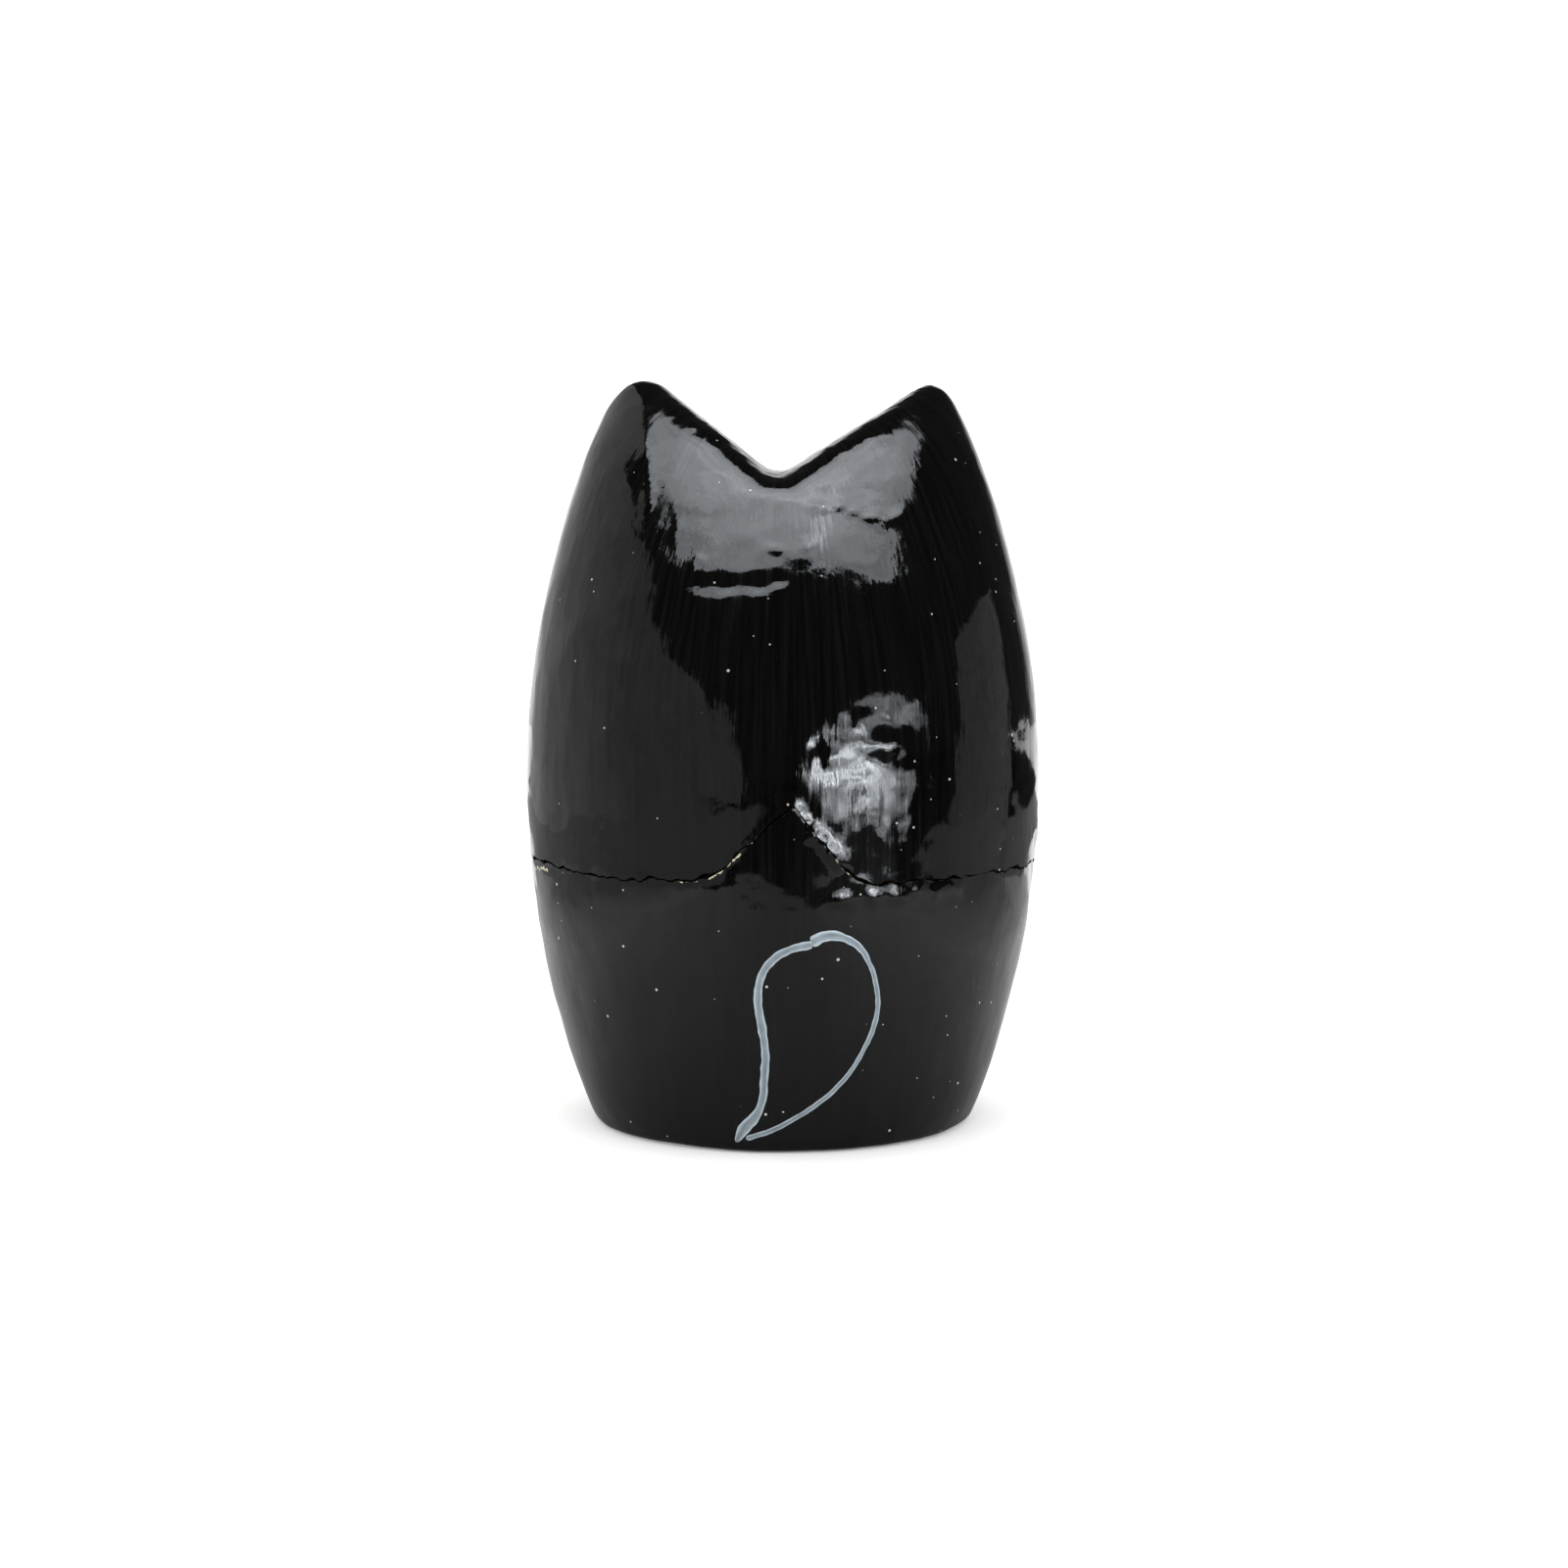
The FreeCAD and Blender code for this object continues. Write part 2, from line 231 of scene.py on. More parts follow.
def aroundFigure(tree, place):
    # coordinates that follow the barrel: level round it, and squeezed upwards so that a pattern
    # becomes long upright brush drags
    centreRadius = 8 * mm
    flat = addNode(tree, "ShaderNodeVectorMath", {0: place, 1: (1, 1, 0)}, operation="MULTIPLY")
    length = addNode(tree, "ShaderNodeVectorMath", {0: flat.outputs[0]}, operation="LENGTH")
    radius = calculate(tree, "MAXIMUM", length.outputs["Value"], centreRadius)
    pull = calculate(tree, "DIVIDE", (headHigh.x - headLow.x) / 2, radius)
    level = addNode(tree, "ShaderNodeVectorMath", {0: flat.outputs[0], "Scale": pull}, operation="SCALE")
    squeeze = lacquer["streakWidth"] / lacquer["streakLength"]
    upright = addNode(tree, "ShaderNodeVectorMath", {0: place, 1: (0, 0, squeeze)}, operation="MULTIPLY")
    both = addNode(tree, "ShaderNodeVectorMath", {0: level.outputs[0], 1: upright.outputs[0]},
                   operation="ADD")
    return both.outputs[0]


def makeBlackLacquer():
    # black alkyd lacquer, brushed on thickly by hand over papier mache: a deep black mirror, broken
    # up by upright brush drags, slow waves, and pale specks: dust that fell in while it was wet, coloured
    # together with painted glints of pinholes
    material, tree, shader = newMaterial("brushedBlackLacquer", IOR=1.45, Metallic=0.0)
    place = addNode(tree, "ShaderNodeTexCoord").outputs["Object"]
    around = aroundFigure(tree, place)
    drags = addNode(tree, "ShaderNodeTexNoise",
                    {"Vector": around, "Scale": 1 / lacquer["streakWidth"], "Detail": 3.0,
                     "Roughness": 0.55})
    broadDrags = addNode(tree, "ShaderNodeTexNoise",
                         {"Vector": around, "Scale": 0.28 / lacquer["streakWidth"], "Detail": 2.0})
    peel = addNode(tree, "ShaderNodeTexNoise",
                   {"Vector": place, "Scale": 1 / lacquer["peelSize"], "Detail": 2.0})
    # short slanted drags where the brush was turned
    turned = addNode(tree, "ShaderNodeMapping",
                     {"Vector": place, "Rotation": (0, math.radians(38), 0), "Scale": (1, 1, 0.22)})
    dabs = addNode(tree, "ShaderNodeTexNoise",
                   {"Vector": turned.outputs[0], "Scale": 1 / lacquer["dabWidth"], "Detail": 2.0})
    grit = addNode(tree, "ShaderNodeTexNoise",
                   {"Vector": place, "Scale": 1 / lacquer["gritSize"], "Detail": 2.0})
    # dust motes and painted glints of pinholes in one pale base colour, each a random size and some of them
    # too small to show
    cells = addNode(tree, "ShaderNodeTexVoronoi", {"Vector": place, "Scale": 1 / lacquer["dustSpacing"]})
    pick = addNode(tree, "ShaderNodeSeparateColor", {0: cells.outputs["Color"]})
    size = calculate(tree, "MULTIPLY", pick.outputs[0], lacquer["dustSize"] / lacquer["dustSpacing"])
    moteAndGlint = calculate(tree, "LESS_THAN", cells.outputs["Distance"], size)
    # bare ground coat where the lacquer chipped along the parting line
    above = abovePartingNodes(tree, place)
    nearLine = addNode(tree, "ShaderNodeMapRange",
                       {"Value": calculate(tree, "ABSOLUTE", above), "From Max": lacquer["chipReach"],
                        "To Min": 0.36, "To Max": 0.0})
    flaking = addNode(tree, "ShaderNodeTexNoise",
                      {"Vector": place, "Scale": 1 / lacquer["chipSize"], "Detail": 5.0})
    clusters = addNode(tree, "ShaderNodeTexNoise",
                       {"Vector": place, "Scale": 1 / lacquer["chipCluster"], "Detail": 1.0})
    flake = calculate(tree, "MULTIPLY_ADD", clusters.outputs["Fac"], 0.7, nearLine.outputs[0])
    flake = calculate(tree, "ADD", flaking.outputs["Fac"], flake)
    # it flaked most beside the feet of the tab on the back
    for foot, reach in (((6.8, 26.4, 29.0), 5.0), ((-6.0, 26.4, 29.3), 2.0)):
        away = addNode(tree, "ShaderNodeVectorMath", {0: place, 1: [c * mm for c in foot]},
                       operation="DISTANCE")
        worn = addNode(tree, "ShaderNodeMapRange",
                       {"Value": away.outputs["Value"], "From Max": reach * mm, "To Min": 0.2,
                        "To Max": 0.0})
        flake = calculate(tree, "ADD", flake, worn.outputs[0])
    chip = calculate(tree, "GREATER_THAN", flake, 1.36)
    thin = addNode(tree, "ShaderNodeMapRange",
                   {"Value": drags.outputs["Fac"], "From Min": 0.4, "From Max": 0.75})
    colour = addNode(tree, "ShaderNodeMix",
                     {0: thin.outputs[0], 6: linear(lacquer["pool"]), 7: linear(lacquer["drag"])},
                     data_type="RGBA")
    # painted highlight: the motes' pale colour stands for dust and for pinholes catching the light
    colour = addNode(tree, "ShaderNodeMix",
                     {0: moteAndGlint, 6: colour.outputs[2], 7: linear(lacquer["dustAndGlint"])}, data_type="RGBA")
    colour = addNode(tree, "ShaderNodeMix",
                     {0: chip, 6: colour.outputs[2], 7: linear(lacquer["chalk"])}, data_type="RGBA")
    tree.links.new(colour.outputs[2], shader.inputs["Base Color"])
    # dry drags and broad bands are a little duller than the pools between them
    dull = addNode(tree, "ShaderNodeMapRange",
                   {"Value": drags.outputs["Fac"], "From Min": 0.42, "From Max": 0.72,
                    "To Min": 0.035, "To Max": 0.085})
    duller = addNode(tree, "ShaderNodeMapRange",
                     {"Value": broadDrags.outputs["Fac"], "From Min": 0.45, "From Max": 0.75,
                      "To Min": 0.0, "To Max": 0.045})
    rough = calculate(tree, "ADD", dull.outputs[0], duller.outputs[0])
    rough = calculate(tree, "MAXIMUM", rough, calculate(tree, "MULTIPLY", chip, 0.8))
    tree.links.new(rough, shader.inputs["Roughness"])
    height = calculate(tree, "MULTIPLY", drags.outputs["Fac"], lacquer["streakHeight"])
    for pattern, depth in ((peel, lacquer["peelHeight"]), (grit, lacquer["gritHeight"]),
                           (broadDrags, lacquer["bandHeight"])):
        height = calculate(tree, "MULTIPLY_ADD", pattern.outputs["Fac"], depth, height)
    # the slanted drags lie in groups
    groups = addNode(tree, "ShaderNodeTexNoise",
                     {"Vector": place, "Scale": 1 / lacquer["dabGroup"], "Detail": 1.0})
    press = addNode(tree, "ShaderNodeMapRange",
                    {"Value": groups.outputs["Fac"], "From Min": 0.42, "From Max": 0.62,
                     "To Min": 0.3 * lacquer["dabHeight"], "To Max": 2.2 * lacquer["dabHeight"]})
    height = calculate(tree, "MULTIPLY_ADD", dabs.outputs["Fac"], press.outputs[0], height)
    height = calculate(tree, "MULTIPLY_ADD", moteAndGlint, lacquer["dustHeight"], height)
    height = calculate(tree, "MULTIPLY_ADD", chip, -lacquer["chipDepth"], height)
    bump = addNode(tree, "ShaderNodeBump", {"Height": height, "Distance": 1.0, "Strength": 1.0})
    tree.links.new(bump.outputs[0], shader.inputs["Normal"])
    return material


inside = {"black": "#151312", "worn": "#2b2621", "fibre": 0.7 * mm, "fibreHeight": 0.03 * mm}


def makeInsidePaint():
    # one coat of thin matt black on bare papier mache: flat, with the paper's pulp showing through
    material, tree, shader = newMaterial("mattBlackInside", IOR=1.45)
    place = addNode(tree, "ShaderNodeTexCoord").outputs["Object"]
    pulp = addNode(tree, "ShaderNodeTexNoise",
                   {"Vector": place, "Scale": 1 / inside["fibre"], "Detail": 5.0, "Distortion": 1.2})
    patches = addNode(tree, "ShaderNodeTexNoise", {"Vector": place, "Scale": 1 / (9 * mm), "Detail": 3.0})
    colour = addNode(tree, "ShaderNodeMix",
                     {0: patches.outputs["Fac"], 6: linear(inside["black"]), 7: linear(inside["worn"])},
                     data_type="RGBA")
    tree.links.new(colour.outputs[2], shader.inputs["Base Color"])
    rough = addNode(tree, "ShaderNodeMapRange",
                    {"Value": pulp.outputs["Fac"], "To Min": 0.5, "To Max": 0.8})
    tree.links.new(rough.outputs[0], shader.inputs["Roughness"])
    height = calculate(tree, "MULTIPLY", pulp.outputs["Fac"], inside["fibreHeight"])
    bump = addNode(tree, "ShaderNodeBump", {"Height": height, "Distance": 1.0})
    tree.links.new(bump.outputs[0], shader.inputs["Normal"])
    return material


tornEdge = {
    "pulp": "#93836a",
    "shade": "#65573f",
    "ink": "#1d1915",
    "layer": 0.45 * mm,
    "layerHeight": 0.12 * mm,
    "stain": 3.6 * mm,
}


def makeTornEdge():
    # the cut wall of papier mache: beige pulp in layers, with lacquer that ran over its edge
    material, tree, shader = newMaterial("cutPapierMache", IOR=1.45)
    place = addNode(tree, "ShaderNodeTexCoord").outputs["Object"]
    layers = addNode(tree, "ShaderNodeTexNoise",
                     {"Vector": place, "Scale": 1 / tornEdge["layer"], "Detail": 5.0, "Distortion": 0.8})
    stain = addNode(tree, "ShaderNodeTexNoise",
                    {"Vector": place, "Scale": 1 / tornEdge["stain"], "Detail": 4.0})
    covered = addNode(tree, "ShaderNodeMapRange",
                      {"Value": stain.outputs["Fac"], "From Min": 0.42, "From Max": 0.7,
                       "To Min": 1.0, "To Max": 0.0})
    # black lacquer ran a millimetre or so in from the outside
    girth = addNode(tree, "ShaderNodeVectorMath",
                    {0: place, 1: (1 / headHigh.x, 1 / headHigh.y, 0)}, operation="MULTIPLY")
    reach = addNode(tree, "ShaderNodeVectorMath", {0: girth.outputs[0]}, operation="LENGTH")
    run = calculate(tree, "MULTIPLY_ADD", layers.outputs["Fac"], 0.05, reach.outputs["Value"])
    inked = addNode(tree, "ShaderNodeMapRange", {"Value": run, "From Min": 0.95, "From Max": 0.975})
    covered = addNode(tree, "ShaderNodeMath", {0: covered.outputs[0], 1: inked.outputs[0]},
                      operation="MAXIMUM")
    light = addNode(tree, "ShaderNodeMix",
                    {0: layers.outputs["Fac"], 6: linear(tornEdge["shade"]), 7: linear(tornEdge["pulp"])},
                    data_type="RGBA")
    colour = addNode(tree, "ShaderNodeMix",
                     {0: covered.outputs[0], 6: light.outputs[2], 7: linear(tornEdge["ink"])},
                     data_type="RGBA")
    tree.links.new(colour.outputs[2], shader.inputs["Base Color"])
    rough = addNode(tree, "ShaderNodeMapRange",
                    {"Value": covered.outputs[0], "To Min": 0.9, "To Max": 0.35})
    tree.links.new(rough.outputs[0], shader.inputs["Roughness"])
    height = calculate(tree, "MULTIPLY", layers.outputs["Fac"], tornEdge["layerHeight"])
    bump = addNode(tree, "ShaderNodeBump", {"Height": height, "Distance": 1.0})
    tree.links.new(bump.outputs[0], shader.inputs["Normal"])
    return material


board = {"light": "#a58a64", "dark": "#7c6342", "grain": 0.28 * mm}


def makeRolledBoard():
    # grey-brown millboard, rolled and glued: dull, with short fibres along its length
    material, tree, shader = newMaterial("rolledMillboard", IOR=1.45)
    place = addNode(tree, "ShaderNodeTexCoord").outputs["Object"]
    along = addNode(tree, "ShaderNodeMapping", {"Vector": place, "Scale": (1, 1, 4)})
    fibres = addNode(tree, "ShaderNodeTexNoise",
                     {"Vector": along.outputs[0], "Scale": 1 / board["grain"], "Detail": 5.0,
                      "Distortion": 0.6})
    blotch = addNode(tree, "ShaderNodeTexNoise", {"Vector": place, "Scale": 1 / (5 * mm), "Detail": 3.0})
    share = calculate(tree, "MULTIPLY_ADD", fibres.outputs["Fac"], 0.6,
                      calculate(tree, "MULTIPLY", blotch.outputs["Fac"], 0.4))
    colour = addNode(tree, "ShaderNodeMix",
                     {0: share, 6: linear(board["dark"]), 7: linear(board["light"])}, data_type="RGBA")
    tree.links.new(colour.outputs[2], shader.inputs["Base Color"])
    rough = addNode(tree, "ShaderNodeMapRange", {"Value": share, "To Min": 0.72, "To Max": 0.92})
    tree.links.new(rough.outputs[0], shader.inputs["Roughness"])
    height = calculate(tree, "MULTIPLY", share, 0.06 * mm)
    bump = addNode(tree, "ShaderNodeBump", {"Height": height, "Distance": 1.0})
    tree.links.new(bump.outputs[0], shader.inputs["Normal"])
    return material


paint = {
    "thick": "#9aa6ae",
    "thin": "#4d585f",
    "bristle": 0.085,     # width of one bristle's track, as a share of the stroke's width
    "trackHeight": 0.02 * mm,
}


def makeLinePaint():
    # white acrylic let down with water, from a fine round brush: bluish where the black shows
    # through it, whiter in the ridges that the bristles left along the stroke
    material, tree, shader = newMaterial("thinWhiteAcrylic", IOR=1.48)
    uv = addNode(tree, "ShaderNodeTexCoord").outputs["UV"]
    place = addNode(tree, "ShaderNodeTexCoord").outputs["Object"]
    tracks = addNode(tree, "ShaderNodeMapping", {"Vector": uv, "Scale": (5.0, 1 / paint["bristle"], 1)})
    bristles = addNode(tree, "ShaderNodeTexNoise",
                       {"Vector": tracks.outputs[0], "Scale": 1.0, "Detail": 3.0})
    pools = addNode(tree, "ShaderNodeTexNoise", {"Vector": place, "Scale": 1 / (1.3 * mm), "Detail": 3.0})
    across = addNode(tree, "ShaderNodeSeparateXYZ", {0: uv}).outputs["Y"]
    fromMiddle = calculate(tree, "ABSOLUTE", calculate(tree, "SUBTRACT", across, 0.5))
    ridge = addNode(tree, "ShaderNodeMapRange",
                    {"Value": fromMiddle, "From Min": 0.2, "From Max": 0.42, "To Min": 0.0, "To Max": 0.45})
    cover = calculate(tree, "ADD", calculate(tree, "MULTIPLY", bristles.outputs["Fac"], 0.75),
                      calculate(tree, "MULTIPLY", pools.outputs["Fac"], 0.35))
    cover = calculate(tree, "ADD", cover, ridge.outputs[0])
    share = addNode(tree, "ShaderNodeMapRange",
                    {"Value": cover, "From Min": 0.35, "From Max": 0.95, "To Min": 0.0, "To Max": 1.0})
    colour = addNode(tree, "ShaderNodeMix",
                     {0: share.outputs[0], 6: linear(paint["thin"]), 7: linear(paint["thick"])},
                     data_type="RGBA")
    tree.links.new(colour.outputs[2], shader.inputs["Base Color"])
    rough = addNode(tree, "ShaderNodeMapRange",
                    {"Value": bristles.outputs["Fac"], "To Min": 0.35, "To Max": 0.55})
    tree.links.new(rough.outputs[0], shader.inputs["Roughness"])
    height = calculate(tree, "MULTIPLY", bristles.outputs["Fac"], paint["trackHeight"])
    bump = addNode(tree, "ShaderNodeBump", {"Height": height, "Distance": 1.0})
    tree.links.new(bump.outputs[0], shader.inputs["Normal"])
    return material


print("materials")
blackLacquer = makeBlackLacquer()
insidePaint = makeInsidePaint()
cutEdge = makeTornEdge()
rolledBoard = makeRolledBoard()
linePaint = makeLinePaint()
shellMaterials = [blackLacquer, insidePaint, cutEdge]


def tornLevel(x, y):
    level = partingLevel(x) + parting["leftRise"] * smoothStep(17 * mm, 27 * mm, x)
    for size, height in parting["ragged"]:
        level += height * noise.noise(Vector((x / size, y / size, 7.3)))
    return level


def makePartingTool():
    # a block whose top is the torn parting line
    half = 1.1 * max(cadBox[1].x, cadBox[1].y)
    cells = round(2 * half / parting["cell"])
    bpy.ops.mesh.primitive_grid_add(x_subdivisions=cells, y_subdivisions=cells, size=2 * half)
    tool = named("partingTool")
    for vertex in tool.data.vertices:
        vertex.co.z = tornLevel(vertex.co.x, vertex.co.y)
    activate(tool)
    bpy.ops.object.mode_set(mode="EDIT")
    bpy.ops.mesh.select_all(action="SELECT")
    bpy.ops.mesh.extrude_region_move(TRANSFORM_OT_translate={"value": (0, 0, -parting["level"] - 9 * mm)})
    # flatten the new underside, which came away with the torn shape
    bpy.ops.transform.resize(value=(1, 1, 0), center_override=(0, 0, -9 * mm))
    bpy.ops.mesh.select_all(action="SELECT")
    bpy.ops.mesh.normals_make_consistent(inside=False)
    bpy.ops.object.mode_set(mode="OBJECT")
    for material in shellMaterials:
        tool.data.materials.append(material)
    for face in tool.data.polygons:
        face.material_index = 2
    return tool


def raiseTool(tool):
    # opens the crack: never less than half its width, and wider in places
    for vertex in tool.data.vertices:
        if vertex.co.z > 0:
            x, y, _ = vertex.co / (1.7 * mm)
            wider = max(0.0, noise.noise(Vector((x, y, 2.9))))
            vertex.co.z += 0.7 * parting["crack"] + parting["spread"] * wider


form = {
    "voxel": {"body_shell": 0.42 * mm, "head_shell": 0.49 * mm},
    "smoothing": 14,                    # rounds of smoothing that take the facets out
    "crownSmoothing": 80,
    "lumps": ((11 * mm, 0.34 * mm), (4.2 * mm, 0.09 * mm), (1.7 * mm, 0.024 * mm)),
    "patch": ((3.0 * mm, 0.16 * mm, 1.0), (1.0 * mm, 0.10 * mm, 3.5)),     # the last is its stretch
    "crest": ((1.3 * mm, 0.26 * mm, 1.3), (3.4 * mm, 0.2 * mm, 1.0)),
    "earBack": 0.9 * mm,                # how far the back of each ear's tip is filled out
    "earPlace": (14.2, 77.8),           # the tips' places and how far the filling reaches, in mm
    "earReach": (4.5, 2.6),
    "tipDrop": (0.3 * mm, 0.65 * mm),   # how much lower the left and the right ear's tips sit
    "notchFloor": 69.2,                 # height of the notch's floor in mm, and the slope of its sides
    "notchSlope": 0.76,
    "mark": 0.33 * mm,                  # height of the tallest lump
    "bead": 0.15 * mm,                  # lacquer that gathered along the parting line
    "beadWidth": 0.8 * mm,
}


# lumps and dents of the hand-laid lacquer on the figure's back, in millimetres:
# x, z, half width, half height, share of the full height
raisedMarks = (
    (-10.4, 41.2, 2.2, 1.1, 1.8),       # ridge in the middle of the brightest patch
    (-12.6, 39.9, 1.1, 0.6, 0.6),
    (-7.6, 43.3, 0.6, 1.2, 0.7),
    (-4.6, 40.0, 0.6, 0.8, 0.7),
    (-5.4, 44.2, 0.5, 1.6, 0.3),
    (-8.0, 36.0, 0.45, 2.6, 0.25),
    (-12.4, 34.6, 0.5, 2.2, 0.22),
    (-27.6, 31.2, 1.1, 1.3, 0.9),       # drip on the right side, just above the parting line
    (-5.6, 26.3, 1.2, 0.6, 1.0),        # lacquer squeezed out beside the tab's foot
    (-8.9, 26.4, 0.7, 0.6, 1.2),
    (-11.3, 26.5, 1.0, 0.55, 1.0),
    (-13.4, 26.7, 0.5, 0.5, 0.8),
    (-15.4, 26.7, 0.8, 0.6, 1.0),
    (-17.2, 27.0, 0.7, 0.5, 0.9),
    (-2.8, 32.6, 0.65, 0.6, 0.9),       # a second run of lacquer inside the tab's flank
    (-3.8, 31.7, 0.65, 0.6, 1.0),
    (-4.8, 30.8, 0.65, 0.6, 1.0),
    (-5.7, 30.0, 0.6, 0.55, 0.8),
    (18.6, 27.2, 0.45, 1.2, 0.3),
    (7.4, 44.6, 0.5, 1.2, 0.25),
    (9.6, 43.4, 0.6, 0.9, 0.25),
    (-3.6, 64.7, 0.7, 0.4, 0.5),        # brush marks across the top of the back
    (-5.6, 65.0, 0.8, 0.4, 0.7),
    (-7.4, 64.6, 0.7, 0.4, 0.6),
    (-8.9, 64.0, 0.8, 0.45, 0.75),
    (-10.3, 63.5, 0.7, 0.55, 0.9),
    (-12.0, 64.1, 0.9, 0.45, 0.8),
    (0.9, 60.6, 0.8, 0.4, 0.4),
    (-2.4, 60.9, 0.5, 0.35, 0.4),
    (10.6, 62.5, 0.4, 1.6, 0.35),
    (8.6, 59.2, 0.45, 1.7, 0.4),
    (13.6, 66.5, 0.5, 3.2, 0.5),
    (14.0, 71.5, 0.45, 2.0, 0.45),
)
sunkMarks = (
    (-3.2, 41.2, 0.55, 0.6, 0.5),
    (-2.6, 34.5, 0.5, 1.3, 0.35),
    (-6.9, 39.0, 0.8, 0.5, 0.3),
    (-14.2, 37.6, 0.6, 1.4, 0.3),
    (-4.6, 38.6, 0.4, 1.8, 0.3),
    (7.6, 57.0, 1.5, 0.85, 0.5),
    (5.2, 56.8, 1.5, 0.8, 0.45),
    (2.6, 57.0, 1.0, 0.7, 0.45),
    (0.4, 57.4, 0.6, 0.6, 0.4),
    (22.2, 0.9, 0.9, 0.8, 1.2),         # chip out of the foot's edge
)


def markWeight(place, marks):
    weight = 0.0
    if place.y > -4 * mm:
        # the marks' outlines are pulled about a little, so that none is a plain oval
        wander = noise.noise_vector(place / (1.1 * mm)) + 0.5 * noise.noise_vector(place / (0.5 * mm))
        for x, z, width, height, share in marks:
            across = (place.x / mm - x + 0.5 * wander.x) / width
            up = (place.z / mm - z + 0.42 * wander.z) / height
            distance = across * across + up * up
            if distance < 9:
                weight += share * math.exp(-distance)
    return weight / 1.5


def patchWeight(vertex):
    # where the lacquer was dabbed on again over the tab's right flank
    x, y, z = vertex.co / mm
    if y < 0:
        return 0.0
    distance = math.hypot((x + 8.5) / 9.0, (z - 38.0) / 10.0)
    return 1.0 - smoothStep(0.55, 1.1, distance)


def crownWeight(vertex):
    # the notch's edges are rounded most, the ears' tips hardly
    tip = smoothStep(9 * mm, 14 * mm, abs(vertex.co.x))
    return smoothStep(65 * mm, 68 * mm, vertex.co.z) * (1 - 0.8 * tip)


def crestWeight(vertex):
    # where the notch turns over into the back, the brush left a ragged run of lacquer
    x, y, z = vertex.co / mm
    if y < 0:
        return 0.0
    below = form["notchFloor"] + form["notchSlope"] * abs(x) - z
    return math.exp(-((below - 1.4) / 1.8) ** 2)


def roughShell(node, name, shift):
    # a merged copy of the node, made too long at its rim, as even quads without facets
    shell = bpy.data.objects.new(name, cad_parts[node].data.copy())
    bpy.context.scene.collection.objects.link(shell)
    shell.data.name = name
    shell.data.materials.clear()
    activate(shell)
    bpy.ops.object.mode_set(mode="EDIT")
    bpy.ops.mesh.select_all(action="SELECT")
    bpy.ops.mesh.remove_doubles(threshold=0.001 * mm)
    bpy.ops.object.mode_set(mode="OBJECT")
    facing = 1 if shift > 0 else -1

    def onRim(face):
        near = parting["level"] - mm < face.center.z < parting["tabTop"] + mm
        return near and face.normal.z * facing > 0.3

    selectFaces(shell, onRim)
    bpy.ops.transform.translate(value=(0, 0, shift))
    bpy.ops.object.mode_set(mode="OBJECT")
    useModifier(shell, "REMESH", mode="VOXEL", voxel_size=form["voxel"][node], use_smooth_shade=True)
    useModifier(shell, "SMOOTH", factor=0.5, iterations=form["smoothing"])
    if node == "head_shell":
        # thick lacquer rounded the edges of the ears and of the notch between them
        group = weigh(shell, "crown", crownWeight)
        useModifier(shell, "SMOOTH", factor=0.5, iterations=form["crownSmoothing"], vertex_group=group)
    return shell


def earBackWeight(vertex):
    x, y, z = vertex.co / mm
    (aside, high), (width, height) = form["earPlace"], form["earReach"]
    distance = math.hypot((abs(x) - aside) / width, (z - high) / height)
    return smoothStep(3, 11, y) * math.exp(-distance ** 2)


def lumpy(shell):
    # unevenness of hand-laid paper, the same all over the figure so that both shells agree
    group = weigh(shell, "earBack", earBackWeight)
    useModifier(shell, "DISPLACE", strength=form["earBack"], mid_level=0.0, vertex_group=group,
                direction="Y")
    for i, (size, height) in enumerate(form["lumps"]):
        texture = cloudTexture(f"lump{i}", size)
        useModifier(shell, "DISPLACE", texture=texture, strength=height, mid_level=0.5,
                    texture_coords="LOCAL", direction="NORMAL")

    def beadWeight(vertex):
        x, y, z = vertex.co
        above = abs(z - partingLevel(x))
        strength = 0.45 + noise.noise(Vector((x / (2.3 * mm), y / (2.3 * mm), z / (2.3 * mm))))
        if y > 0:
            flank = smoothStep(-8 * mm, -6 * mm, x) * (1 - smoothStep(-3 * mm, 1 * mm, x))
            strength *= 1.0 + 1.3 * flank - 0.75 * smoothStep(2 * mm, 7 * mm, x)
            strength *= 1.0 - 0.9 * (1 - smoothStep(-9 * mm, -6 * mm, x))
        return strength * math.exp(-(above / form["beadWidth"]) ** 2)

    group = weigh(shell, "bead", beadWeight)
    useModifier(shell, "DISPLACE", strength=form["bead"], mid_level=0.0, vertex_group=group)
    for name, weightAt in (("patch", patchWeight), ("crest", crestWeight)):
        group = weigh(shell, name, weightAt)
        for i, (size, height, stretch) in enumerate(form[name]):
            bpy.ops.object.empty_add()
            upright = bpy.context.active_object
            upright.scale.z = stretch
            bpy.context.view_layer.update()
            useModifier(shell, "DISPLACE", texture=cloudTexture(f"{name}{i}", size), strength=height,
                        mid_level=0.5, vertex_group=group, texture_coords="OBJECT",
                        texture_coords_object=upright, direction="NORMAL")
            bpy.data.objects.remove(upright)
    for name, marks in (("raised", raisedMarks), ("sunk", sunkMarks)):
        group = weigh(shell, name, lambda vertex: markWeight(vertex.co, marks))
        strength = form["mark"] if name == "raised" else -form["mark"]
        useModifier(shell, "DISPLACE", strength=strength, mid_level=0.0, vertex_group=group)


def settle(shell):
    # the foot is flat where it stands, and the ears' tips aren't level
    for vertex in shell.data.vertices:
        drop = form["tipDrop"][0 if vertex.co.x > 0 else 1]
        vertex.co.z = max(0.0, vertex.co.z - drop * smoothStep(71 * mm, 79.5 * mm, vertex.co.z))


